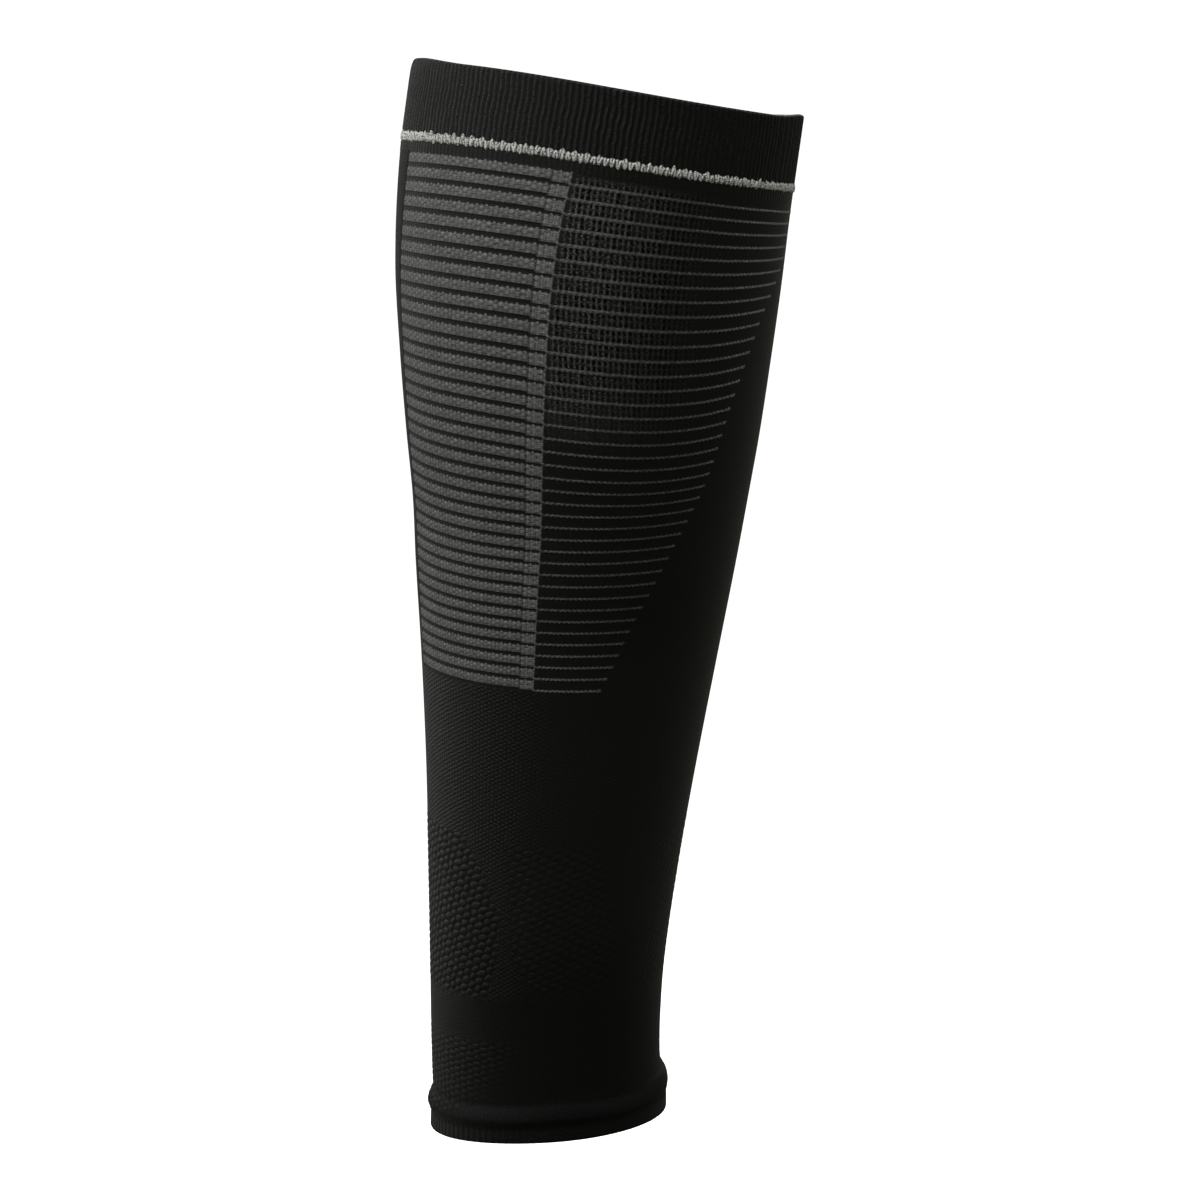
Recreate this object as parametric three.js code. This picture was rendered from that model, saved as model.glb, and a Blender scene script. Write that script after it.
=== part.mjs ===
// Knitted compression sleeve for the calf, in the form that it has on a leg.
// Millimetres, +Z up the leg, +X to the right of the front view, -Y to the front.
// The origin is the centre of the ankle opening, and the foot and knee ends are both open.
import * as THREE from 'three';

// Driving dimensions
const SLEEVE_LENGTH = 313;
const KNIT_WALL = 1.4;
const WELT_WALL = 2.2;
const GAP = 0.3;
const TOP_CUFF_HEIGHT = 19.6;
const ACCENT_HEIGHT = 3.1;
const ANKLE_CUFF_HEIGHT = 18.5;
const RIB_COUNT = 100;
const TOP_RIB_DEPTH = 0.5;
const HEM_RIB_DEPTH = 0.3;

// Sections of the outer skin, from the ankle up. Each is a circle of the given half width that is
// centred at centreX and lies in a plane that falls to the right and rises to the back, in degrees.
// wave, in millimetres, is how far a knitted course dips 30 degrees round to the right of the front,
// and how far it lifts again at 90 degrees.
const SECTIONS = [
  { height: 0, centreX: 0.0, half: 34.6, fallRight: -3.4, riseBack: -1.5, wave: 0.0 },
  { height: 16, centreX: -0.5, half: 34.6, fallRight: -2.4, riseBack: -1.4, wave: 0.0 },
  { height: 30, centreX: -0.6, half: 34.8, fallRight: -1.8, riseBack: -1.0, wave: 0.0 },
  { height: 50, centreX: 0.0, half: 35.6, fallRight: -1.1, riseBack: -0.4, wave: 0.0 },
  { height: 80, centreX: 1.9, half: 37.9, fallRight: -0.3, riseBack: 0.2, wave: 0.0 },
  { height: 110, centreX: 4.2, half: 40.7, fallRight: 0.3, riseBack: 1.0, wave: 0.0 },
  { height: 142, centreX: 6.6, half: 44.3, fallRight: 0.5, riseBack: 1.6, wave: 0.0 },
  { height: 172, centreX: 8.7, half: 48.0, fallRight: 0.1, riseBack: 3.3, wave: 0.1 },
  { height: 192, centreX: 10.1, half: 50.2, fallRight: 0.2, riseBack: 4.3, wave: 0.3 },
  { height: 212, centreX: 10.8, half: 52.8, fallRight: 1.9, riseBack: 4.7, wave: 0.9 },
  { height: 234, centreX: 11.5, half: 55.2, fallRight: 3.1, riseBack: 2.7, wave: 1.1 },
  { height: 258, centreX: 12.4, half: 57.3, fallRight: 4.8, riseBack: -2.5, wave: 0.7 },
  { height: 285, centreX: 14.5, half: 58.0, fallRight: 7.7, riseBack: -7.4, wave: 0.4 },
  { height: SLEEVE_LENGTH, centreX: 18.2, half: 57.9, fallRight: 9.0, riseBack: -7.6, wave: 0.4 },
];

// Slope of one column of the table at row i, from the rows on either side of it.
function columnSlope(column, i) {
  const below = SECTIONS[Math.max(i - 1, 0)];
  const above = SECTIONS[Math.min(i + 1, SECTIONS.length - 1)];
  return (above[column] - below[column]) / (above.height - below.height);
}

// One column of the table at any height, on a smooth cubic through the rows.
function columnAt(column, height) {
  const last = SECTIONS.length - 2;
  const found = SECTIONS.findIndex((row, i) => i <= last && height <= SECTIONS[i + 1].height);
  const i = found < 0 ? last : found;
  const low = SECTIONS[i];
  const high = SECTIONS[i + 1];
  const span = high.height - low.height;
  const t = (height - low.height) / span;
  const lowShare = 2 * t ** 3 - 3 * t ** 2 + 1;
  const lowPull = (t ** 3 - 2 * t ** 2 + t) * span;
  const highPull = (t ** 3 - t ** 2) * span;
  const rows = lowShare * low[column] + (1 - lowShare) * high[column];
  return rows + lowPull * columnSlope(column, i) + highPull * columnSlope(column, i + 1);
}

// Point of the sleeve at a height, an angle round it and an offset outwards from the outer skin.
// The angle is 0 at the front and grows to the right.
function sleevePoint(height, angle, offset) {
  const radius = columnAt('half', height) + offset;
  const across = radius * Math.sin(angle);
  const back = -radius * Math.cos(angle);
  const fall = Math.tan(THREE.MathUtils.degToRad(columnAt('fallRight', height)));
  const rise = Math.tan(THREE.MathUtils.degToRad(columnAt('riseBack', height)));
  const dip = columnAt('wave', height) * Math.sin(3 * angle);
  const lift = rise * back - fall * across - dip;
  return new THREE.Vector3(columnAt('centreX', height) + across, back, height + lift);
}

// Closed ring of knit. outline(angle) gives the wall's outline as rows of height and offset, up the
// outside and down the inside, with the same number of rows at every angle.
function knitRing(outline, segments) {
  const positions = [];
  const triangles = [];
  const rows = outline(0).length;
  for (let j = 0; j < segments; j += 1) {
    const angle = (2 * Math.PI * j) / segments;
    for (const { height, offset } of outline(angle)) {
      positions.push(...sleevePoint(height, angle, offset).toArray());
    }
  }
  for (let j = 0; j < segments; j += 1) {
    const here = j * rows;
    const next = ((j + 1) % segments) * rows;
    for (let i = 0; i < rows; i += 1) {
      const up = (i + 1) % rows;
      triangles.push(here + i, next + i, next + up, here + i, next + up, here + up);
    }
  }
  const geometry = new THREE.BufferGeometry();
  geometry.setAttribute('position', new THREE.Float32BufferAttribute(positions, 3));
  geometry.setIndex(triangles);
  geometry.computeVertexNormals();
  return geometry;
}

// Depth below the rib crests at an angle: crests and grooves alternate round the sleeve.
function ribGroove(angle, depth) {
  return depth * (0.5 - 0.5 * Math.cos(RIB_COUNT * angle));
}

// Heights at which one zone ends and the next begins
const ACCENT_TOP = SLEEVE_LENGTH - TOP_CUFF_HEIGHT - GAP;
const ACCENT_BOTTOM = ACCENT_TOP - ACCENT_HEIGHT;
const TUBE_TOP = ACCENT_BOTTOM - GAP;
const TUBE_BOTTOM = ANKLE_CUFF_HEIGHT + GAP;

const RIB_SEGMENTS = 2 * RIB_COUNT;
const SMOOTH_SEGMENTS = 72;

// Top cuff: a double welt with standing ribs and a rounded rim.
function topCuff() {
  const rimRound = 0.8;
  const bottom = SLEEVE_LENGTH - TOP_CUFF_HEIGHT;
  const outline = (angle) => {
    const groove = ribGroove(angle, TOP_RIB_DEPTH);
    return [
      { height: bottom, offset: -groove },
      { height: SLEEVE_LENGTH - rimRound, offset: -groove },
      { height: SLEEVE_LENGTH, offset: -rimRound },
      { height: SLEEVE_LENGTH, offset: rimRound - WELT_WALL },
      { height: SLEEVE_LENGTH - rimRound, offset: -WELT_WALL },
      { height: bottom, offset: -WELT_WALL },
    ];
  };
  return knitRing(outline, RIB_SEGMENTS);
}

// Accent stripe: a few courses of light yarn that stand a little proud of the knit.
function accentStripe() {
  const proud = 0.3;
  const shoulder = 0.5;
  const outline = () => [
    { height: ACCENT_BOTTOM, offset: 0 },
    { height: ACCENT_BOTTOM + shoulder, offset: proud },
    { height: ACCENT_TOP - shoulder, offset: proud },
    { height: ACCENT_TOP, offset: 0 },
    { height: ACCENT_TOP, offset: -KNIT_WALL },
    { height: ACCENT_BOTTOM, offset: -KNIT_WALL },
  ];
  return knitRing(outline, SMOOTH_SEGMENTS);
}

// Calf tube: one even wall that follows the leg from the ankle to the accent stripe.
function calfTube() {
  const outerSteps = 16;
  const innerSteps = 9;
  const heightAt = (share) => TUBE_BOTTOM + (TUBE_TOP - TUBE_BOTTOM) * share;
  const outline = () => {
    const rows = [];
    for (let i = 0; i <= outerSteps; i += 1) {
      rows.push({ height: heightAt(i / outerSteps), offset: 0 });
    }
    for (let i = innerSteps; i >= 0; i -= 1) {
      rows.push({ height: heightAt(i / innerSteps), offset: -KNIT_WALL });
    }
    return rows;
  };
  return knitRing(outline, SMOOTH_SEGMENTS);
}

// Ankle cuff: a ribbed hem with a rolled ridge above it. The roll is taller and fuller on the right,
// so each row gives its height on the left and its offset on the left and on the right.
const ANKLE_PROFILE = [
  { part: 'hem', height: 0.8, left: 1.1, right: 1.5 },
  { part: 'groove', height: 4.4, left: 0.9, right: 1.7 },
  { part: 'ridge', height: 7.2, left: 1.6, right: 2.3 },
  { part: 'ridge shoulder', height: 9.2, left: 1.0, right: 1.8 },
  { part: 'ridge foot', height: 11.4, left: 0.0, right: 0.3 },
];
const ROLL_STRETCH_RIGHT = 1.4;

function ankleCuff() {
  const lip = { left: 0.8, right: 0.9 };
  const outline = (angle) => {
    const toRight = 0.5 + 0.5 * Math.sin(angle);
    const stretch = THREE.MathUtils.lerp(1, ROLL_STRETCH_RIGHT, toRight);
    const groove = ribGroove(angle, HEM_RIB_DEPTH);
    const skin = ANKLE_PROFILE.map(({ part, height, left, right }) => ({
      height: height * stretch,
      offset: THREE.MathUtils.lerp(left, right, toRight) - (part === 'hem' || part === 'groove' ? groove : 0),
    }));
    return [
      { height: 0, offset: THREE.MathUtils.lerp(lip.left, lip.right, toRight) },
      ...skin,
      { height: ANKLE_CUFF_HEIGHT, offset: 0 },
      { height: ANKLE_CUFF_HEIGHT, offset: -KNIT_WALL },
      { height: 0, offset: -KNIT_WALL },
    ];
  };
  return knitRing(outline, RIB_SEGMENTS);
}

// Finishes: matt black elastic yarn, and a light grey heathered yarn for the accent.
const blackKnit = new THREE.MeshStandardMaterial({ color: 0x1c1c1d, roughness: 0.92, metalness: 0 });
const blackRib = new THREE.MeshStandardMaterial({ color: 0x191919, roughness: 0.95, metalness: 0 });
const lightYarn = new THREE.MeshStandardMaterial({ color: 0xbdbcb6, roughness: 0.85, metalness: 0 });

const sleeve = new THREE.Group();
sleeve.name = 'compression_sleeve';

function addZone(name, geometry, material) {
  const zone = new THREE.Mesh(geometry, material);
  zone.name = name;
  sleeve.add(zone);
}

addZone('top_cuff', topCuff(), blackRib);
addZone('accent_stripe', accentStripe(), lightYarn);
addZone('calf_tube', calfTube(), blackKnit);
addZone('ankle_cuff', ankleCuff(), blackRib);

export default sleeve;
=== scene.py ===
import math

import bpy
import numpy as np
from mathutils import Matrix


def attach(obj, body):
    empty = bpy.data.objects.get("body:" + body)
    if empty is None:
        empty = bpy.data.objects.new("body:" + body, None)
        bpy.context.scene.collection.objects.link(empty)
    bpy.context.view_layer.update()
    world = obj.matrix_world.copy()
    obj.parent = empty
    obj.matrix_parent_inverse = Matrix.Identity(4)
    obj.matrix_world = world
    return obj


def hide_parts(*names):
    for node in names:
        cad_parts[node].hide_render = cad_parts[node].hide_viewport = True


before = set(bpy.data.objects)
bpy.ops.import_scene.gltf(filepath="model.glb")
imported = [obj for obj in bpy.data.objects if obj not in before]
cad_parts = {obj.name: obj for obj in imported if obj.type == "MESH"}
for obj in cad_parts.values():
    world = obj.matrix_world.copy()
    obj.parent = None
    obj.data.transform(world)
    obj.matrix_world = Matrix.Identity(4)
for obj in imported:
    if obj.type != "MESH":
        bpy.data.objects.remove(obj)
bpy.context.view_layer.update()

# Top cuff
# The welt that grips the leg below the knee: matt black elastic yarn, knitted double and in one with
# the tube, with a standing rib to every two wales and a rounded rim.

MM = 0.001
WALES = 200
SLEEVE_LENGTH = 313.0
# The form that the leg gives the sleeve, from the ankle up: height, centre to the right and half width
# in millimetres, fall to the right and rise to the back in degrees, and wave in millimetres.
SECTIONS = np.array([
    (0, 0.0, 34.6, -3.4, -1.5, 0.0),
    (16, -0.5, 34.6, -2.4, -1.4, 0.0),
    (30, -0.6, 34.8, -1.8, -1.0, 0.0),
    (50, 0.0, 35.6, -1.1, -0.4, 0.0),
    (80, 1.9, 37.9, -0.3, 0.2, 0.0),
    (110, 4.2, 40.7, 0.3, 1.0, 0.0),
    (142, 6.6, 44.3, 0.5, 1.6, 0.0),
    (172, 8.7, 48.0, 0.1, 3.3, 0.1),
    (192, 10.1, 50.2, 0.2, 4.3, 0.3),
    (212, 10.8, 52.8, 1.9, 4.7, 0.9),
    (234, 11.5, 55.2, 3.1, 2.7, 1.1),
    (258, 12.4, 57.3, 4.8, -2.5, 0.7),
    (285, 14.5, 58.0, 7.7, -7.4, 0.4),
    (SLEEVE_LENGTH, 18.2, 57.9, 9.0, -7.6, 0.4),
])
FIRST_BAR = 285.8
STRIPE = 3.742
# Turn of the stitch columns above the first bar and how much more they turn below it, in wales, and the
# depth in millimetres over which most of that builds up.
TURN_ABOVE = -3.7
TURN_BELOW = -3.8
TURN_DEPTH = 33.7


def curve_through(known, rows, at):
    """Rows of values at any places, on cubics through the known ones. The slope at a known place is that
    of the straight line between its two neighbours."""
    index = np.arange(len(known))
    above = np.minimum(index + 1, index[-1])
    below = np.maximum(index - 1, 0)
    slope = (rows[above] - rows[below]) / (known[above] - known[below])[:, None]
    low = np.clip(np.searchsorted(known, at) - 1, 0, index[-1] - 1)
    span = (known[low + 1] - known[low])[..., None]
    t = (at - known[low])[..., None] / span
    share = 2 * t**3 - 3 * t**2 + 1
    straight = share * rows[low] + (1 - share) * rows[low + 1]
    pull = (t**3 - 2 * t**2 + t) * slope[low] + (t**3 - t**2) * slope[low + 1]
    return straight + span * pull


def twist(height):
    """Wales by which the stitch columns have turned to the right at a height. They lean most just below the
    first bar, and run straight up the leg lower down."""
    below = np.maximum(FIRST_BAR - height, 0)
    return TURN_ABOVE + TURN_BELOW * (1 - np.exp(-below / TURN_DEPTH))


def skin(height, wale, offset):
    """Points in metres at heights up the leg, wales round it from the front to the right, and offsets out
    from the skin. A height is a circle in a plane that falls to the right and rises to the back, with a
    wave of three dips round it."""
    columns = np.moveaxis(curve_through(SECTIONS[:, 0], SECTIONS, height), -1, 0)
    _, centre, half, fall, rise, wave = columns
    angle = 2 * np.pi * wale / WALES
    across = (half + offset) * np.sin(angle)
    back = -(half + offset) * np.cos(angle)
    lift = np.tan(np.radians(rise)) * back - np.tan(np.radians(fall)) * across - wave * np.sin(3 * angle)
    return MM * np.stack([centre + across, back, height + lift], axis=-1)


def stitch_columns(per_wale):
    """Stitch columns once round the sleeve from the back, in wales, with so many mesh columns to a wale."""
    return np.arange(WALES * per_wale) / per_wale - WALES / 2


def store(mesh, name, values):
    """Stores one number for each point of a mesh as an attribute."""
    attribute = mesh.attributes.new(name, "FLOAT", "POINT")
    attribute.data.foreach_set("value", values.astype(np.float32).ravel())


def knit_ring(name, height, offset, columns, outer_rows, sharp_rows=(), sway=0.0):
    """A closed ring of knit: the wall's outline, up the outside and down the inside, carried round the leg.
    Row i and column j of height and offset give one point, and sway moves it round by so many wales. The
    knit map holds the stitch column and the height in millimetres, and outside is 1 on the first
    outer_rows rows."""
    rows, count = offset.shape
    height = np.broadcast_to(height, offset.shape)
    points = skin(height, columns + twist(height) + sway, offset)
    row, column = np.meshgrid(np.arange(rows), np.arange(count), indexing="ij")
    up, right = (row + 1) % rows, (column + 1) % count
    corners = [row * count + column, row * count + right, up * count + right, up * count + column]
    corners = np.stack(corners, axis=-1)
    mesh = bpy.data.meshes.new(name)
    mesh.from_pydata(points.reshape(-1, 3), [], corners.reshape(-1, 4), shade_flat=False)
    step = columns[1] - columns[0]
    u = np.broadcast_to(np.stack([columns, columns + step, columns + step, columns], -1), corners.shape)
    knit_map = np.stack([u, height.ravel()[corners]], -1).astype(np.float32)
    mesh.uv_layers.new(name="knit").uv.foreach_set("vector", knit_map.ravel())
    store(mesh, "outside", np.repeat(np.arange(rows) < outer_rows, count))
    ends = np.empty(2 * len(mesh.edges), np.int32)
    mesh.edges.foreach_get("vertices", ends)
    end_rows = ends.reshape(-1, 2) // count
    sharp = (end_rows[:, 0] == end_rows[:, 1]) & np.isin(end_rows[:, 0], sharp_rows)
    mesh.attributes.new("sharp_edge", "BOOLEAN", "EDGE").data.foreach_set("value", sharp)
    piece = bpy.data.objects.new(name, mesh)
    bpy.context.scene.collection.objects.link(piece)
    return piece


class Shade:
    """A socket in a material's node tree. Arithmetic on it adds Math nodes."""

    def __init__(self, tree, socket):
        self.tree = tree
        self.socket = socket

    def node(self, kind, settings, inputs, output=0):
        """A new node of a kind, with its settings made and its sockets set or linked."""
        made = self.tree.nodes.new(kind)
        for key, value in settings.items():
            setattr(made, key, value)
        for key, value in inputs.items():
            if isinstance(value, Shade):
                self.tree.links.new(value.socket, made.inputs[key])
            else:
                made.inputs[key].default_value = value
        return Shade(self.tree, made.outputs[output])

    def math(self, operation, *values):
        return self.node("ShaderNodeMath", {"operation": operation}, dict(enumerate((self, *values))))

    def __add__(self, other):
        return self.math("ADD", other)

    def __sub__(self, other):
        return self.math("SUBTRACT", other)

    def __rsub__(self, other):
        return self.math("MULTIPLY_ADD", -1.0, other)

    def __mul__(self, other):
        return self.math("MULTIPLY", other)

    def __truediv__(self, other):
        return self.math("DIVIDE", other)

    def __abs__(self):
        return self.math("ABSOLUTE")

    def __gt__(self, other):
        return self.math("GREATER_THAN", other)

    def __lt__(self, other):
        return self.math("LESS_THAN", other)

    __radd__ = __add__
    __rmul__ = __mul__


def smooth(value, start, end):
    """0 before start and 1 after end, on an S-curve between. start may be the larger."""
    limits = {"Value": value, "From Min": start, "From Max": end}
    return value.node("ShaderNodeMapRange", {"interpolation_type": "SMOOTHSTEP"}, limits)


def cycle(value):
    """1 at whole numbers and 0 midway between them, on a cosine."""
    return 0.5 + 0.5 * (value * (2 * math.pi)).math("COSINE")


def arched_courses(wale, course):
    """1 on each course and 0 midway between, with the courses bent to a V in every wale."""
    from_middle = abs(wale - wale.math("ROUND"))
    return cycle(course + 0.8 * from_middle)


def speckle(across, along, scale, detail=1.0):
    """Uneven yarn: noise about 0 over stitches and courses."""
    place = across.node("ShaderNodeCombineXYZ", {}, {0: across, 1: along})
    noise = {"Vector": place, "Scale": scale, "Detail": detail, "Roughness": 0.6}
    return across.node("ShaderNodeTexNoise", {"noise_dimensions": "2D"}, noise) - 0.5


def each_stitch(across, along):
    """A chance value from 0 to 1 for each stitch, the same all over that stitch."""
    place = across.node("ShaderNodeCombineXYZ", {}, {0: across.math("ROUND"), 1: along.math("ROUND")})
    return across.node("ShaderNodeTexWhiteNoise", {"noise_dimensions": "2D"}, {"Vector": place})


class Knit:
    """A cloth material on the knit map: its wale and height, and the Principled shader that it ends in."""

    def __init__(self, name, roughness):
        self.material = bpy.data.materials.new(name)
        self.material.use_nodes = True
        tree = self.material.node_tree
        self.shader = tree.nodes["Principled BSDF"]
        self.shader.inputs["Roughness"].default_value = roughness
        self.shader.inputs["Specular IOR Level"].default_value = 0.2
        self.shader.inputs["Sheen Weight"].default_value = 0.02
        self.shader.inputs["Sheen Roughness"].default_value = 0.4
        place = Shade(tree, None).node("ShaderNodeUVMap", {"uv_map": "knit"}, {})
        self.wale = place.node("ShaderNodeSeparateXYZ", {}, {0: place})
        self.height = Shade(tree, self.wale.socket.node.outputs[1])

    def attribute(self, name):
        return self.wale.node("ShaderNodeAttribute", {"attribute_name": name}, {}, "Fac")

    def dye(self, first, second, share, strength):
        """Base colour: from the first yarn to the second by share, then scaled by strength. Sockets 6 and 7
        and output 2 of the Mix node are its colours."""
        mixed = share.node("ShaderNodeMix", {"data_type": "RGBA"}, {0: share, 6: first, 7: second}, 2)
        scaled = {0: mixed, "Scale": strength}
        colour = share.node("ShaderNodeVectorMath", {"operation": "SCALE"}, scaled)
        colour.tree.links.new(colour.socket, self.shader.inputs["Base Color"])

    def relief(self, height, depth):
        """Bump of that depth in millimetres for a height from 0 to 1."""
        inputs = {"Strength": 1.0, "Distance": depth * MM, "Height": height}
        bump = height.node("ShaderNodeBump", {}, inputs)
        bump.tree.links.new(bump.socket, self.shader.inputs["Normal"])

    def dull(self, roughness):
        """Roughness that changes over the cloth."""
        self.material.node_tree.links.new(roughness.socket, self.shader.inputs["Roughness"])

    def shade_holes(self, share, dark):
        """Painted shade in the holes between the threads: matt dark colour without gloss, by share."""
        tree = self.material.node_tree
        matt_dark = share.node("ShaderNodeBsdfDiffuse", {}, {"Color": dark})
        cloth = Shade(tree, self.shader.outputs[0])
        mixed = share.node("ShaderNodeMixShader", {}, {0: share, 1: cloth, 2: matt_dark})
        tree.links.new(mixed.socket, tree.nodes["Material Output"].inputs["Surface"])


def place_knit(piece, cloth, node):
    """Gives a piece its cloth, attaches it to the root body and hides the part that it stands for."""
    piece.data.materials.append(cloth.material)
    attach(piece, "root")
    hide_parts(node)


def fade(value, start, end):
    """0 before start and 1 after end, on an S-curve between. start may be the larger."""
    t = np.clip((value - start) / (end - start), 0, 1)
    return t * t * (3 - 2 * t)


BLACK_YARN = (0.0032, 0.0031, 0.0028, 1.0)
# A light grey that paints highlights: on the cuff's rib crests and on the knobs of the hem's roll.
PAINTED_HIGHLIGHT_GREY = (0.040, 0.0398, 0.038, 1.0)
CUFF_BOTTOM = 292.35
CUFF_COURSE = 0.62
WELT_WALL = 2.2
KNIT_WALL = 1.4
EDGE_GAP = 0.04
RIM_ROUND = 0.9
RIM_LIFT_LEFT = 0.9
RIM_LIFT_RIGHT = 1.3
# How far the rim's left corner leans in, and the depth over which most of that dies away, in millimetres.
RIM_LEAN_LEFT = 1.1
RIM_LEAN_DEPTH = 1.3
RIB_DEPTH = 0.5
RIB_PROUD = 0.1
UPPER_HEADS = {"row": 0, "tall": 1.05, "short": 0.25, "spread": 0.3}

chance = np.random.default_rng(7)
head_chance = chance.uniform(-1, 1, (2, WALES))


def stitch_heads(columns, row, tall, short, spread):
    """A toothed edge, from 0 between the wales to a stitch head at each: tall and short ones by turns, each
    longer or shorter by a chance amount of up to spread."""
    wale = np.round(columns).astype(int) % WALES
    head = 1 - 2 * np.abs(columns - np.round(columns))
    reach = np.where(wale % 2 == 0, tall, short) + spread * head_chance[row, wale]
    return head * reach


def rib_profile(wale):
    """Depth of the rib below its crest, from 0 to 1, over its two wales: a narrow crest, a groove on each
    side, and a low middle wale between the grooves."""
    place = (wale / 2 + 0.5) % 1 - 0.5
    crest = np.exp(-((place / 0.08) ** 2))
    middle = np.exp(-(((np.abs(place) - 0.5) / 0.16) ** 2))
    return 1 - crest - 0.7 * middle


def rib_sway(height, wale):
    """Wales by which the ribs wander to the right: a slow wave that swells and dies away round the leg, a
    faint quick one, and a bend in them all a third of the way down the cuff."""
    around = 2 * np.pi * wale / WALES
    slow = 0.07 * np.sin(0.95 * height + 35 * around) * np.sin(10 * around)
    quick = 0.035 * np.sin(2.1 * height + 22 * around)
    bend = 0.18 * np.exp(-((height - 306.5) / 4) ** 2)
    return slow + quick + bend


cuff_columns = stitch_columns(6)
cuff_edge = CUFF_BOTTOM + stitch_heads(cuff_columns, **UPPER_HEADS) + EDGE_GAP
rim_degrees = (cuff_columns + twist(SLEEVE_LENGTH)) * 360 / WALES
left_turn = fade(rim_degrees, -45, -75) * fade(rim_degrees, -140, -95)
right_turn = fade(rim_degrees, 58, 82) * fade(rim_degrees, 150, 105)
cuff_top = SLEEVE_LENGTH + RIM_LIFT_LEFT * left_turn + RIM_LIFT_RIGHT * right_turn

cuff_rise = np.linspace(0, 1, 18)[:, None]
rim_turn = np.radians(np.linspace(0, 90, 6))[1:, None]
inner_depth = np.array([0.02, RIM_ROUND, 4.0, 9.0, 14.0])[:, None]
wall_rows = cuff_edge + (cuff_top - RIM_ROUND - cuff_edge) * cuff_rise
rim_rows = cuff_top - RIM_ROUND * (1 - np.sin(rim_turn))
cuff_rows = np.r_[wall_rows, rim_rows, cuff_top - inner_depth, cuff_edge[None, :]]

rim_in = np.r_[np.zeros_like(cuff_rise), RIM_ROUND * (1 - np.cos(rim_turn))]
rib_depth = RIB_DEPTH * (1 - 0.5 * fade(cuff_columns, 0, 25) * fade(cuff_columns, 95, 70))
cuff_outer = RIB_PROUD - rim_in - rib_depth * (1 - rim_in / RIM_ROUND) * rib_profile(cuff_columns)
cuff_inner = np.full((len(inner_depth) + 1, len(cuff_columns)), -WELT_WALL)
cuff_inner[0] = RIM_ROUND - WELT_WALL
rim_lean = RIM_LEAN_LEFT * left_turn * np.exp((cuff_rows - cuff_top) / RIM_LEAN_DEPTH)
top_cuff = knit_ring(
    "top_cuff_knit",
    cuff_rows,
    np.r_[cuff_outer, cuff_inner] - rim_lean,
    cuff_columns,
    len(cuff_outer),
    sharp_rows=(0, len(cuff_rows) - 1),
    sway=rib_sway(cuff_rows, cuff_columns) * fade(cuff_rows, cuff_edge, cuff_edge + 3),
)


def cuff_cloth():
    """Black rib knit. Rib crests and stray fibres get a painted highlight on the lit left and at the back,
    and the grooves get painted shade and are dull. On the right front the knit is painted darker, as shade,
    and is smoother and plainer."""
    cloth = Knit("black_rib_knit", roughness=0.52)
    wale = cloth.wale
    course = cloth.height / CUFF_COURSE
    stitch = arched_courses(wale, course)
    uneven = speckle(wale, course, 0.9, 2.0)
    fuzz = speckle(wale * 2.2, course, 1.3, 2.0)
    wales = cycle(wale)
    crest = smooth(cycle(wale / 2), 0.90, 0.985)
    groove = smooth(wales, 0.4, 0.1)
    # Painted light and shade: crests and stray fibres get a painted highlight on the lit left and at the
    # back, the right front is painted darker, and the grooves get painted shade.
    lit_side = 0.12 + 0.88 * (smooth(wale, 8.0, -18.0) + smooth(wale, 60.0, 90.0))
    side_light_scale = 0.55 + 0.45 * lit_side
    ridge = 0.30 * crest + 0.16 * smooth(wales, 0.6, 0.95)
    crest_and_fibre_highlight = ridge * (0.8 + 3.6 * uneven) + 1.1 * fuzz.math("MAXIMUM", 0.0)
    crest_and_fibre_highlight = crest_and_fibre_highlight * lit_side * cloth.attribute("outside")
    strength = (1.0 - 0.5 * groove + 0.2 * stitch) * side_light_scale
    cloth.dye(BLACK_YARN, PAINTED_HIGHLIGHT_GREY, crest_and_fibre_highlight.math("MAXIMUM", 0.0), strength)
    cloth.dull(0.45 + 0.07 * lit_side + 0.16 * groove + 0.6 * fuzz)
    cloth.relief((0.9 * wales + 0.35 * stitch + 0.9 * uneven + 2.0 * fuzz) * side_light_scale, 0.14)
    return cloth


place_knit(top_cuff, cuff_cloth(), "top_cuff")

# Accent stripe
# A narrow ring just under the cuff, knitted in light grey heathered yarn. The two strands of each stitch
# make a V, upright and upside down by turns, and every second stitch reaches higher into the cuff.

ACCENT_BOTTOM = 290.45
# Offset of the stripe's edges, how far its middle bulges, and how far the strands stand up on it.
ACCENT_EDGE = -0.55
ACCENT_BULGE = 0.35
STRAND_RAISE = 0.5
# Half the gap between two strands where they meet, how much wider it is where they part, and half the
# width of a strand, in wales.
STRAND_MEET = 0.04
STRAND_PART = 0.32
STRAND_HALF = 0.15
LOWER_HEADS = {"row": 1, "tall": 0.25, "short": 0.6, "spread": 0.25}
LIGHT_YARN = (0.58, 0.576, 0.55, 1.0)
# Dark colour for the painted shade in the hollows between the strands, and for the yarn's own dark flecks.
SHADED_YARN = (0.03, 0.03, 0.029, 1.0)

accent_columns = stitch_columns(10)
accent_wale = np.round(accent_columns)
in_wale = accent_columns - accent_wale
accent_chance = chance.uniform(-1, 1, (3, WALES))[:, accent_wale.astype(int) % WALES]
accent_rise = np.linspace(0, 1, 19)[:, None]
accent_high = CUFF_BOTTOM + stitch_heads(accent_columns, **UPPER_HEADS)
accent_low = ACCENT_BOTTOM - stitch_heads(accent_columns, **LOWER_HEADS)
accent_rows = accent_low + (accent_high - accent_low) * accent_rise

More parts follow.
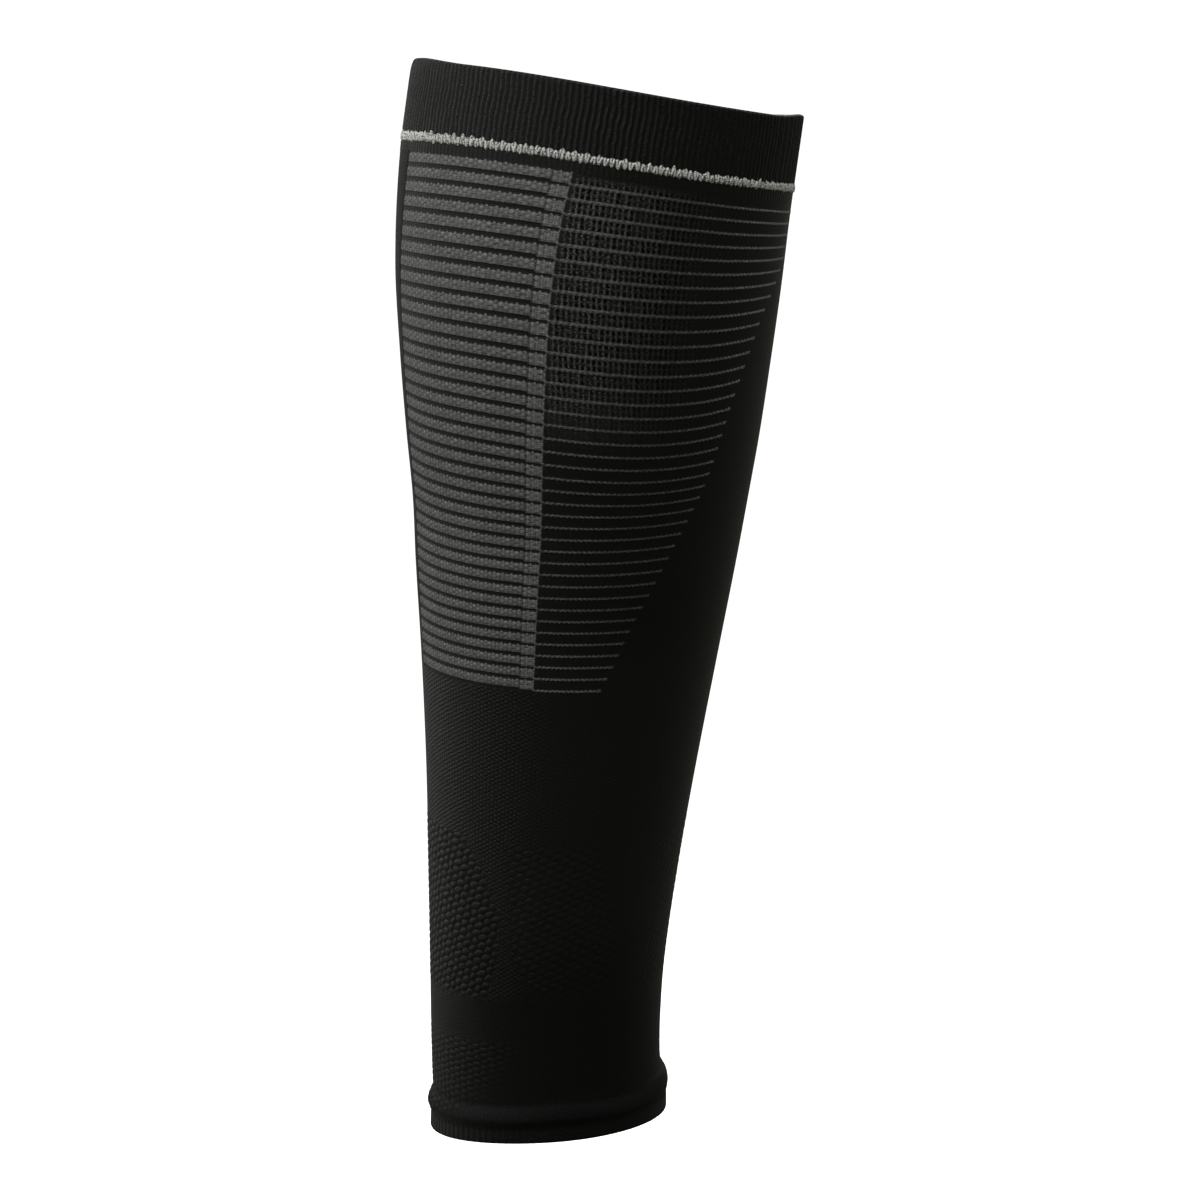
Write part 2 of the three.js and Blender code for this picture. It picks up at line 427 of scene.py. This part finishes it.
upside_down = (accent_wale + (accent_chance[0] > 0.5)) % 2
parted = np.abs(upside_down - accent_rise)
leaning = in_wale + 0.3 * accent_chance[1] * (accent_rise - 0.5)
strands = np.exp(-((np.abs(leaning) - STRAND_MEET - STRAND_PART * parted) / STRAND_HALF) ** 2)
accent_outer = ACCENT_EDGE + ACCENT_BULGE * np.sin(np.pi * accent_rise) ** 0.35
accent_outer = accent_outer + (STRAND_RAISE + 0.15 * accent_chance[2]) * strands
accent_outer = accent_outer + 0.08 * np.cos(np.pi * in_wale)
accent_inner = np.full((2, len(accent_columns)), -KNIT_WALL)
accent_stripe = knit_ring(
    "accent_stripe_knit",
    np.r_[accent_rows, accent_high[None, :], accent_low[None, :]],
    np.r_[accent_outer, accent_inner],
    accent_columns,
    len(accent_rise),
    sharp_rows=(0, len(accent_rise) - 1, len(accent_rise), len(accent_rise) + 1),
)
store(accent_stripe.data, "strand", np.r_[strands, np.zeros_like(accent_inner)])


def heather_cloth():
    """Light heathered yarn with dark single flecks of its own, and painted shade in the hollows between the
    strands, painted lighter on the right front.
    """
    cloth = Knit("light_heather_yarn", roughness=0.85)
    fleck = speckle(cloth.wale * 1.6, cloth.height, 2.2, 2.0)
    fibre = speckle(cloth.wale * 3.0, cloth.height, 4.0, 2.0)
    # Painted shade in the hollows between the strands, less of it on the right front as painted light.
    hollow = smooth(cloth.attribute("strand") + 1.2 * fibre, 0.55, 0.10)
    right_front = smooth(cloth.wale, 5.0, 30.0) * smooth(cloth.wale, 95.0, 60.0)
    shaded = (0.75 - 0.18 * right_front) * hollow + 0.8 * smooth(fleck, 0.03, 0.10)
    cloth.dye(LIGHT_YARN, SHADED_YARN, shaded.math("MINIMUM", 1.0), 1.0 + fibre)
    cloth.relief(0.5 + fibre, 0.15)
    return cloth


place_knit(accent_stripe, heather_cloth(), "accent_stripe")

# Striped calf knit
# The upper tube, in black elastic yarn with dark grey bars floated into a panel on the left front. Past
# the column that closes the panel, each repeat goes on as one thin grey course, which ends on a slant.

# Stripes are counted down from the first bar: bars lie at whole numbers, and thin courses midway.
LAST_BAR = 39
PANEL_END = 39.66
BAR_HALF = 0.30
# Widths in wales, to the left of the panel's right edge.
PANEL_WALES = 35.3
COLUMN_WALES = 3.2
BORDER_WALE = -PANEL_WALES - 0.5
# Where the last thin course ends, in wales to the right of the panel, and how much further each one above
# it goes.
LAST_LINE_WALES = 14.4
LINE_STEP = 1.06
BAR_RAISE = 0.22
LINE_RAISE = 0.10
BORDER_DEPTH = 0.12
COURSES_PER_STRIPE = 6
GREY_YARN = (0.172, 0.1712, 0.167, 1.0)

bar_rows = np.array([-0.36, -0.26, 0.26, 0.36, 0.5])
repeats = (np.arange(1, LAST_BAR + 1)[:, None] + bar_rows).ravel()
stripe_top = (FIRST_BAR - ACCENT_BOTTOM) / STRIPE + 1
calf_stripe = np.r_[np.linspace(stripe_top, 0.5, 5), repeats, PANEL_END][::-1, None]
calf_columns = stitch_columns(2)


def band(value, low, high):
    """1 between low and high, and 0 elsewhere."""
    return ((value > low) & (value < high)).astype(float)


def line_end(line, ease):
    """Stitch column at which a thin course ends. From the last course up, the ends run on a slant to the
    right, which bows in about the twelfth course. ease is an S-curve of a value between two others."""
    bow = 0.7 * ease(line, 38.0, 33.0) + 3.2 * ease(line, 24.0, 13.0) * ease(line, 5.0, 10.0)
    return LAST_LINE_WALES + LINE_STEP * (LAST_BAR - line) - bow


def calf_relief(stripe, wale):
    """Offset of the striped knit: faint wales, deeper in the open mesh, and on top of them the raised bars
    of the panel, the longer stitches of its end column and the thin courses beyond it."""
    from_bar = stripe - np.round(stripe)
    panel = band(wale, -PANEL_WALES, 0.1)
    column = band(wale, -COLUMN_WALES, 0.1)
    bar = np.maximum(band(np.abs(from_bar), -1, 0.3) * panel, band(from_bar, -0.3, 0.4) * column)
    bar = bar * band(stripe, 0.6, LAST_BAR + 0.5)
    line = band(np.abs(from_bar), 0.45, 1) * band(wale, 0, line_end(stripe - 0.5, fade))
    line = line * band(stripe, 1.2, LAST_BAR + 0.6)
    mesh = fade(wale, 0.5, 2) * fade(wale, 23, 17) * fade(stripe, 20, 15)
    above = fade(stripe, 0.66, 0.5) * fade(wale, 16, 4)
    border = band(np.abs(wale - BORDER_WALE), -1, 0.3) * band(stripe, 0.55, LAST_BAR + 1)
    depth = 0.01 + 0.02 * fade(wale, 14, 2) + 0.05 * mesh + 0.06 * above
    wales = depth * np.cos(2 * np.pi * wale)
    return wales + BAR_RAISE * bar + LINE_RAISE * line - BORDER_DEPTH * border


calf_height = np.repeat(FIRST_BAR - (calf_stripe - 1) * STRIPE, len(calf_columns), axis=1)
calf_height[-1] = ACCENT_BOTTOM - stitch_heads(calf_columns, **LOWER_HEADS) - EDGE_GAP
inner_calf = calf_height[0] + (calf_height[-1] - calf_height[0]) * np.linspace(1, 0, 12)[:, None]
calf_knit = knit_ring(
    "calf_knit",
    np.r_[calf_height, inner_calf],
    np.r_[calf_relief(calf_stripe, calf_columns), np.full_like(inner_calf, -KNIT_WALL)],
    calf_columns,
    len(calf_height),
    sharp_rows=(0, len(calf_height) - 1, len(calf_height), len(calf_height) + len(inner_calf) - 1),
)


def calf_cloth():
    """Black knit with grey bars in the panel, thin grey courses past it, and open mesh between these near
    the top, where the slots between upright threads get painted shade."""
    cloth = Knit("striped_calf_knit", roughness=0.5)
    wale = cloth.wale
    outside = cloth.attribute("outside")
    stripe = (FIRST_BAR - cloth.height) / STRIPE + 1
    nearest = stripe.math("ROUND")
    from_bar = stripe - nearest
    line_number = stripe.math("FLOOR")
    from_line = stripe - line_number - 0.5
    course = stripe * COURSES_PER_STRIPE
    uneven = speckle(wale, course, 1.1)
    fuzz = speckle(wale * 2.0, course, 1.2)
    thread = 1.08 * wale
    wales = cycle(thread)
    stitch = arched_courses(wale, course)

    # Bars, with toothed upper edges, and the column that closes the panel
    column = smooth(wale, -COLUMN_WALES - 0.12, -COLUMN_WALES + 0.12)
    low_edge = BAR_HALF + 0.15 * column
    in_panel = smooth(wale + 0.2 * fuzz, -PANEL_WALES - 0.15, -PANEL_WALES + 0.15)
    in_panel = in_panel * smooth(wale, 0.15, -0.1) * (stripe > 0.5) * (stripe < LAST_BAR + 0.5)
    tooth = wales * (0.05 + 0.06 * cycle(thread / 2)) + 0.10 * fuzz
    upper = smooth(from_bar + tooth, -BAR_HALF - 0.02, -BAR_HALF + 0.04)
    lower = smooth(from_bar + 0.06 * fuzz - low_edge, 0.03, -0.03)
    bar = upper * lower * in_panel * outside
    bar_row = 2.5 * from_bar
    loose = thread / 2 + 0.15 * fuzz
    lit = each_stitch(thread + 0.3 * fuzz, nearest * 4 + (2 * bar_row).math("ROUND"))
    tuft = speckle(thread * 2.5, course * 1.5, 1.2, 2.0)
    dash = 0.40 * cycle(loose + bar_row) + 0.30 * cycle(loose - bar_row) + 0.35 * wales
    notch = smooth(abs(wale + COLUMN_WALES - 0.1), 0.30, 0.10)
    between = smooth(cycle(wale + 0.5), 0.22, 0.04) * column
    bar_tone = (0.24 + 0.60 * dash) * (0.70 + 0.40 * lit) + 0.12 * smooth(from_bar, 0.06, 0.18)
    bar_tone = (bar_tone + 0.04 * column) * (1 - 0.40 * notch) * (1 - 0.40 * between)
    bar_tone = bar_tone + 0.3 * uneven + 0.9 * tuft

    # Thin courses, each with a small knob at its end
    past_end = wale - line_end(line_number, smooth)
    wave = 0.03 * (wale * (2 * math.pi) + 1.0).math("SINE")
    knob = smooth(abs(past_end + 0.4), 0.7, 0.3)
    line = smooth(abs(from_line + wave) - 0.03 * knob, 0.105, 0.06)
    line = line * smooth(wale, -0.4, 0.0) * smooth(past_end, 0.2, -0.1)
    line = line * (stripe > 1.2) * (stripe < LAST_BAR + 0.9) * outside
    # Painted light: the thin courses are a little darker just past the panel and much lighter towards the
    # right, where less light falls.
    line_light = 0.73 - 0.18 * smooth(wale, 6.0, 17.0) + 1.3 * smooth(wale, 20.0, 44.0)
    line_tone = (0.36 + 0.24 * wales + 0.5 * uneven) * line_light

    # Open mesh, with painted shade in the slots between the upright threads
    mesh_reach = smooth(wale, 0.2, 1.0) * smooth(wale, 28.0, 18.0) * smooth(stripe, 20.0, 13.0)
    mesh_reach = mesh_reach * smooth(stripe, 0.6, 1.3) * outside
    upright = thread - 0.30 * from_bar + 0.35 * fuzz + 0.45 * uneven
    slot_depth = 0.50 + 0.5 * each_stitch(upright - 0.5, nearest)
    crossing = 0.6 * smooth(abs(from_bar + 0.4 * fuzz), 0.14, 0.05)
    slot = smooth(cycle(upright), 0.80, 0.50) * smooth(abs(from_line), 0.09, 0.18) * slot_depth
    slot = slot * (1 - crossing) * mesh_reach
    mesh_tone = mesh_reach * (1 - slot) * (0.10 + 0.13 * each_stitch(upright, nearest) + 0.8 * fuzz)
    mesh_tone = mesh_tone * (0.25 + 0.75 * smooth(wale, 22.0, 6.0))

    # Plain ground: the dark border of the panel, with painted shade in its recess, the strip to its left
    # and the band above the first bar
    beside_bars = smooth(stripe, 0.45, 0.65)
    border = smooth(abs(wale - BORDER_WALE), 0.5, 0.3) * beside_bars * outside
    strip = smooth(wale, BORDER_WALE - 0.1, BORDER_WALE - 0.5) * beside_bars
    upper_band = smooth(stripe, 0.7, 0.55) * outside
    lit_side = smooth(wale, -62.0, -46.0) * smooth(wale, 1.0, 0.0) * outside
    # Painted light and shade: the wales are painted lighter and darker on the left and at the back, and the
    # recessed border is painted dark.
    near = smooth(wale, 16.0, 2.0) + smooth(wale, 70.0, 95.0)
    ground = 0.9 + 0.6 * smooth(stripe, 33.0, 39.5) + 0.25 * wales * near + 0.15 * stitch + 0.8 * uneven
    ground = ground * (1 - 0.8 * border)

    grey = bar * bar_tone + line * line_tone + (1 - bar) * (1 - line) * mesh_tone
    bar_strength = 1.0 + 0.09 * smooth(stripe, 24.0, 34.0)
    cloth.dye(BLACK_YARN, GREY_YARN, grey, ground * (1 - bar) + bar_strength * bar)
    matt = (0.18 + 0.17 * strip) * lit_side * (1 - smooth(stripe, 33.0, 39.0) * strip)
    matt = matt + 0.18 * (bar + line).math("MINIMUM", 1.0) + 0.3 * border
    cloth.dull(0.5 + matt.math("MINIMUM", 0.45) + 0.3 * fuzz)
    # Painted shade: the slots of the open mesh turn matt dark.
    cloth.shade_holes(slot * (1 - line) * (1 - bar), BLACK_YARN)
    wale_relief = (0.25 * near + 0.6 * upper_band) * wales * (1 - bar)
    bar_relief = bar * (0.35 * dash + tuft)
    yarn_relief = 0.3 * near * stitch + 0.5 * fuzz + 0.3 * uneven
    cloth.relief(wale_relief + bar_relief + 0.4 * line + yarn_relief, 0.14)
    return cloth


place_knit(calf_knit, calf_cloth(), "calf_tube")

# Shin knit
# The lower tube in the same black yarn: a fine bird's-eye ground above, patches of raised honeycomb
# stitches over the ankle, and plain knit between them.

TUBE_BOTTOM = 18.51
PLAIN_MIDDLE = 37.0
SHIN_COURSE = 0.667
PEBBLE_RAISE = 0.2
# Turns to the wale and to the millimetre of the two waves whose crossings are the raised stitches, over
# the ankle and in the band above the hem.
PATCH_RISING = (0.20, 0.352)
PATCH_FALLING = (0.22, -0.456)
BAND_RISING = (0.21, 0.543)
BAND_FALLING = (0.19, -0.543)

shin_top = FIRST_BAR - (PANEL_END - 1) * STRIPE
shin_columns = stitch_columns(2)
band_heights = np.linspace(TUBE_BOTTOM, 30.5, 30)
plain_heights = np.linspace(31.5, 43, 12)
patch_heights = np.linspace(44, 97.5, 131)
upper_heights = np.linspace(98.4, shin_top, 36)
shin_height = np.r_[band_heights, plain_heights, patch_heights, upper_heights][:, None]


def honeycomb_share(height, wale):
    """Where the raised stitches stand: a patch on the front, fields that begin on the left and on the right
    of the ankle and meet at the back, and a band that runs down to the hem's ridge. Their borders curve."""
    border_heights = [43.7, 56.5, 69.1, 83.9, 93.6, 97]
    left_edge = np.interp(height, border_heights, [-16.6, -14.4, -13.3, -19.5, -25.6, -60])
    left = fade(wale, left_edge + 2.5, left_edge - 2) * fade(height, 43, 46) * fade(height, 98, 93)
    front_left = np.interp(height, [44, 50, 56.8, 92.7], [4, -6, -10.1, -12.7])
    front_right = np.interp(height, [44, 54.9, 91.3], [14, 20.6, 11])
    front = fade(wale, front_left - 1, front_left + 1) * fade(wale, front_right + 1, front_right - 1)
    front = front * fade(height, 44, 47) * fade(height, 94, 91)
    right = fade(wale, 28, 30) * (0.4 + 0.6 * fade(wale, 50, 85))
    right = right * fade(height, 43, 46) * fade(height, 98, 93)
    hem_right = np.interp(height, [6, 13, 30], [-34, -20, -8])
    hem = fade(wale, hem_right + 9, hem_right - 9) + fade(wale, 60, 85)
    hem = hem * fade(height, 5, 8) * fade(height, 32, 28.5)
    return np.clip(left + 0.5 * front + right + 0.55 * hem, 0, 1)


def pebbles(wale, height, in_band, cosine):
    """Rounded stitches on a slanted honeycomb lattice, from about -1.25 in the holes to 2.5 on their tops:
    the sum of three waves of nearly the same strength, one that rises to the right, one that falls and one
    of both their phases. in_band is 1 in the band above the hem and 0 over the ankle."""
    (wale_up, height_up), (wale_down, height_down) = PATCH_RISING, PATCH_FALLING
    band_up, band_down = BAND_RISING, BAND_FALLING
    around = wale * (2 * math.pi / WALES)
    loose = wale + 0.25 * cosine(0.9 * height + 19 * around) + 0.2 * cosine(54 * around - 0.7 * height)
    rising = loose * (wale_up + in_band * (band_up[0] - wale_up))
    rising = rising + height * (height_up + in_band * (band_up[1] - height_up))
    falling = loose * (wale_down + in_band * (band_down[0] - wale_down))
    falling = falling + height * (height_down + in_band * (band_down[1] - height_down))
    rising, falling = rising * (2 * math.pi), falling * (2 * math.pi)
    return 0.9 * cosine(rising) + 0.8 * cosine(falling) + 0.8 * cosine(rising + falling)


def shin_relief(height, wale):
    """Offset of the shin knit: faint wales, and the raised stitches where they stand."""
    share = honeycomb_share(height, wale + twist(height))
    raised = fade(pebbles(wale, height, (height < PLAIN_MIDDLE) * 1.0, np.cos), -1.0, 0.8)
    return 0.01 * np.cos(2 * np.pi * wale) + PEBBLE_RAISE * share * (raised - 0.5)


inner_shin = np.repeat(np.linspace(shin_top, TUBE_BOTTOM, 10)[:, None], len(shin_columns), axis=1)
shin_outer = shin_relief(shin_height, shin_columns)
shin_rows = np.r_[np.repeat(shin_height, len(shin_columns), axis=1), inner_shin]
shin_knit = knit_ring(
    "shin_knit",
    shin_rows,
    np.r_[shin_outer, np.full_like(inner_shin, -KNIT_WALL)],
    shin_columns,
    len(shin_height),
    sharp_rows=(0, len(shin_height) - 1, len(shin_height), len(shin_rows) - 1),
)


def mark_honeycomb(piece, rows, columns, outer_rows):
    """Stores where the raised stitches stand as the attribute honeycomb, 0 on the inside."""
    share = honeycomb_share(rows, columns + twist(rows))
    share[outer_rows:] = 0
    store(piece.data, "honeycomb", share)


def shin_cloth(name):
    """Black knit with three grounds: bird's-eye dots that turn into a rising twill on the left, honeycomb
    stitches with painted shade in the holes between them, and plain knit. Its last courses are the roll
    above the hem."""
    cloth = Knit(name, roughness=0.5)
    wale, height = cloth.wale, cloth.height
    course = height / SHIN_COURSE
    honey = cloth.attribute("honeycomb")
    outside = cloth.attribute("outside")
    uneven = speckle(wale, course, 1.1)
    fuzz = speckle(wale * 2.0, course, 1.2)

    # Honeycomb stitches and bird's-eye dots, painted lighter on top and darker between as light and shade,
    # both plainer on the shaded right front
    in_band = height < PLAIN_MIDDLE
    shifted = wale + 1.2 * speckle(wale, height, 0.35)
    cell = pebbles(shifted, height, in_band, lambda phase: phase.math("COSINE"))
    stitch = smooth(cell + 1.2 * fuzz, -0.9, 0.6)
    rising = ((wale - course) * math.pi).math("COSINE")
    falling = ((wale + course) * math.pi).math("COSINE")
    twilled = 0.5 + 0.09 * smooth(wale, -15.5, -16.5) * smooth(wale, -95.0, -70.0)
    eye = rising * twilled + falling * (1 - twilled) + 0.5 * cycle(wale) + 1.1 * fuzz
    dot = smooth(eye, -0.2, 0.8)
    # seen: the lit left and the back, where the painted light and shade of the stitches shows most.
    seen = smooth(wale, 9.0, -9.0) + smooth(wale, 55.0, 90.0)
    behind = smooth(wale, -36.0, -42.0) + smooth(wale, 30.0, 55.0)
    low_ground = smooth(height, 42.0, 46.0) * (1 - behind * smooth(height, 112.0, 138.0))
    twill_share = (0.12 + 0.88 * seen) * low_ground * (1 - honey) * outside
    honey_share = (0.35 + 0.65 * seen) * honey
    plain = smooth(height, 46.0, 36.0) * (1 - honey)
    over_hem = smooth(height, 34.0, 22.0)

    # The roll, with a painted highlight on a knob at each wale, except on the shaded right front
    lit_roll = smooth(wale, 24.0, -6.0) + smooth(wale, 60.0, 90.0)
    crest = smooth(abs(height - 7.4), 2.2, 0.8) * lit_roll * outside
    knob_highlight = crest * (0.35 + 0.65 * cycle(wale)) * (0.6 + 1.6 * uneven)
    roll_matt = 0.17 + 0.25 * smooth(wale, -22.0, 25.0) * smooth(wale, 95.0, 60.0)
    roll_matt = smooth(abs(height - 9.0), 5.0, 2.5) * roll_matt * outside
    hem = smooth(height, 13.0, 11.0) * outside

    # Painted shade: the black is darker below about 75 mm, towards the ankle, and darker still over the
    # plain knit and the hem. It is also a little darker near the top.
    strength = 0.7 + 1.1 * smooth(height, 40.0, 75.0) - 0.25 * smooth(height, 120.0, 141.0)
    strength = strength - 0.2 * plain - 0.2 * over_hem + 0.9 * uneven
    # Painted light and shade: raised dots and stitches lighter, the holes between them darker.
    strength = strength + 2.4 * (dot - 0.40) * twill_share + 2.4 * (stitch - 0.55) * honey_share
    cloth.dye(BLACK_YARN, PAINTED_HIGHLIGHT_GREY, 0.16 * knob_highlight.math("MAXIMUM", 0.0), strength)
    hole = (1 - stitch) * honey_share + 0.5 * (1 - dot) * twill_share
    cloth.dull(0.48 + 0.25 * hole + 0.06 * plain + 0.05 * over_hem + roll_matt + 0.3 * fuzz)
    knit = (0.5 + 0.9 * hem) * fuzz + 0.5 * uneven
    cloth.relief(0.6 * dot * twill_share + 0.8 * stitch * honey_share + knit, 0.16)
    return cloth


mark_honeycomb(shin_knit, shin_rows, shin_columns, len(shin_height))
place_knit(shin_knit, shin_cloth("shin_knit"), "calf_tube")

# Ankle cuff
# The hem: the last courses of the tube roll over an elastic ridge and end in a short ribbed lip, knitted
# in one with the tube. The roll is taller and fuller on the right, and lies lower over the front.

ANKLE_HEIGHT = 18.5
HEM_RIB_DEPTH = 0.3
# Height on the left, offset on the left, offset on the right and share of the hem's ribs, row by row.
ANKLE_PROFILE = np.array([
    (0.0, 0.3, 0.4, 0.3),
    (0.25, 0.8, 1.0, 0.5),
    (0.8, 1.1, 1.5, 0.5),
    (2.6, 1.0, 1.6, 0.5),
    (4.4, 0.9, 1.7, 0.4),
    (5.8, 1.35, 2.1, 0.1),
    (7.2, 1.6, 2.3, 0.0),
    (9.2, 1.0, 1.8, 0.0),
    (11.4, 0.0, 0.3, 0.0),
    (13.2, 0.0, 0.0, 0.0),
])
# Height of the roll on the right, and how much lower it is at the front and at the front right, as shares
# of its height on the left.
ROLL_RIGHT = 1.4
ROLL_LOWER_FRONT = 0.20
ROLL_LOWER_RIGHT = 0.22
HEM_DROP = 0.35
HEM_DROP_LEFT = 0.9
KNOB_HEIGHT = 7.6
KNOB_RAISE = 0.09

ankle_columns = stitch_columns(4)
steps = np.linspace(0, len(ANKLE_PROFILE) - 1, 46)
profile = curve_through(np.arange(len(ANKLE_PROFILE), dtype=float), ANKLE_PROFILE, steps)
row_height, left_offset, right_offset, rib_share = profile.T[:, :, None]
ankle_turn = 2 * np.pi * (ankle_columns + twist(0.0)) / WALES
across = np.sin(ankle_turn)
to_right = 0.5 + 0.5 * across
front = np.maximum(np.cos(ankle_turn), 0)
front_right = (2 * front * np.maximum(across, 0)) ** 2
roll_stretch = 1 + (ROLL_RIGHT - 1) * to_right - ROLL_LOWER_FRONT * front - ROLL_LOWER_RIGHT * front_right
hem_drop = HEM_DROP * (1 - np.maximum(across, 0) ** 2) + HEM_DROP_LEFT * np.maximum(-across, 0) ** 2
roll_rows = row_height * roll_stretch - hem_drop * fade(row_height, 7, 0)
upper_rows = roll_rows[-1] + (ANKLE_HEIGHT - roll_rows[-1]) * np.linspace(0, 1, 13)[1:, None]
outer_rows = np.r_[roll_rows, upper_rows]

hem_ribs = 0.5 - 0.5 * np.cos(np.pi * ankle_columns)
roll_skin = left_offset + (right_offset - left_offset) * to_right
roll_skin = roll_skin - HEM_RIB_DEPTH * rib_share * hem_ribs * fade(across, 0.6, -0.6)
ankle_skin = np.r_[roll_skin, np.zeros_like(upper_rows)] + shin_relief(outer_rows, ankle_columns)
knob_share = fade(np.abs(outer_rows - KNOB_HEIGHT), 2.4, 0.8) * fade(across, 0.8, 0.0)
ankle_skin = ankle_skin + KNOB_RAISE * knob_share * np.cos(2 * np.pi * ankle_columns)
inner_ankle = outer_rows[0] + (ANKLE_HEIGHT - outer_rows[0]) * np.array([1, 0.65, 0.3, 0])[:, None]
ankle_rows = np.r_[outer_rows, inner_ankle]
ankle_cuff = knit_ring(
    "ankle_cuff_knit",
    ankle_rows,
    np.r_[ankle_skin, np.full_like(inner_ankle, -KNIT_WALL)],
    ankle_columns,
    len(ankle_skin),
    sharp_rows=(len(ankle_skin) - 1, len(ankle_skin)),
)
mark_honeycomb(ankle_cuff, ankle_rows, ankle_columns, len(ankle_skin))
place_knit(ankle_cuff, shin_cloth("black_hem_knit"), "ankle_cuff")

# Studio
# A plain white floor that turns up into a white surround, and a long lens a little above the middle of the
# sleeve. Six soft square lights stand round it: two high in front, two low on the left and two behind.

FLOOR = -0.25
POLE_RADIUS = 0.00001
turn = np.linspace(0, 2 * np.pi, 65)[None, :]
sweep_radius = np.array([POLE_RADIUS, 2, 5, 7, 8, 8.4, 8, 5, POLE_RADIUS])[:, None]
sweep_height = FLOOR + np.array([0, 0, 0, 0.3, 1.2, 3, 6, 9, 9.6])[:, None]
sweep = np.broadcast_arrays(sweep_radius * np.cos(turn), sweep_radius * np.sin(turn), sweep_height)
sweep = np.stack(sweep, axis=-1)
grid = np.arange(sweep.shape[0] * sweep.shape[1]).reshape(sweep.shape[:2])
panes = np.stack([grid[:-1, :-1], grid[:-1, 1:], grid[1:, 1:], grid[1:, :-1]], -1).reshape(-1, 4)
studio_mesh = bpy.data.meshes.new("studio_floor")
studio_mesh.from_pydata(sweep.reshape(-1, 3), [], panes, shade_flat=False)
studio = bpy.data.objects.new("studio_floor", studio_mesh)
bpy.context.scene.collection.objects.link(studio)
paper = bpy.data.materials.new("white_paper")
paper.use_nodes = True
paper_shader = paper.node_tree.nodes["Principled BSDF"]
paper_shader.inputs["Base Color"].default_value = (0.9, 0.9, 0.9, 1.0)
paper_shader.inputs["Emission Color"].default_value = (1.0, 1.0, 1.0, 1.0)
paper_shader.inputs["Emission Strength"].default_value = 1.0
studio_mesh.materials.append(paper)
studio.visible_diffuse = False
studio.visible_glossy = False
studio.visible_shadow = False

AIM = np.array([0.0159, 0.0, 0.1594])


def soft_light(name, azimuth, elevation, distance, size, power):
    """A square light that faces the middle of the sleeve. Azimuth runs from the front to the right."""
    lamp = bpy.data.lights.new(name, "AREA")
    lamp.shape = "SQUARE"
    lamp.size = size
    lamp.energy = power
    light = bpy.data.objects.new(name, lamp)
    bpy.context.scene.collection.objects.link(light)
    a, e = math.radians(azimuth), math.radians(elevation)
    towards = np.array([math.sin(a) * math.cos(e), -math.cos(a) * math.cos(e), math.sin(e)])
    light.location = AIM + distance * towards
    light.rotation_euler = (math.pi / 2 - e, 0, a)
    light.visible_camera = False


soft_light("key_light", azimuth=-42, elevation=52, distance=0.75, size=0.5, power=4.2)
soft_light("left_light", azimuth=-95, elevation=14, distance=1.0, size=0.8, power=3.0)
soft_light("left_edge_light", azimuth=-125, elevation=10, distance=1.2, size=0.9, power=3.0)
soft_light("right_fill_light", azimuth=50, elevation=60, distance=0.85, size=0.6, power=3.5)
soft_light("right_edge_light", azimuth=140, elevation=35, distance=1.1, size=0.9, power=1.6)
soft_light("back_light", azimuth=180, elevation=22, distance=1.2, size=1.0, power=6.0)

world = bpy.data.worlds.new("studio_air")
world.use_nodes = True
world.node_tree.nodes["Background"].inputs["Color"].default_value = (1.0, 0.99, 0.82, 1.0)
world.node_tree.nodes["Background"].inputs["Strength"].default_value = 0.11
bpy.context.scene.world = world

CAMERA_DISTANCE = 2.0
CAMERA_RISE = math.radians(11)
lens = bpy.data.cameras.new("camera")
lens.lens = 200
lens.sensor_width = 36
camera = bpy.data.objects.new("camera", lens)
bpy.context.scene.collection.objects.link(camera)
camera.location = AIM + CAMERA_DISTANCE * np.array([0, -math.cos(CAMERA_RISE), math.sin(CAMERA_RISE)])
camera.rotation_euler = (math.pi / 2 - CAMERA_RISE, 0, 0)
bpy.context.scene.camera = camera
bpy.context.scene.view_settings.view_transform = "Standard"
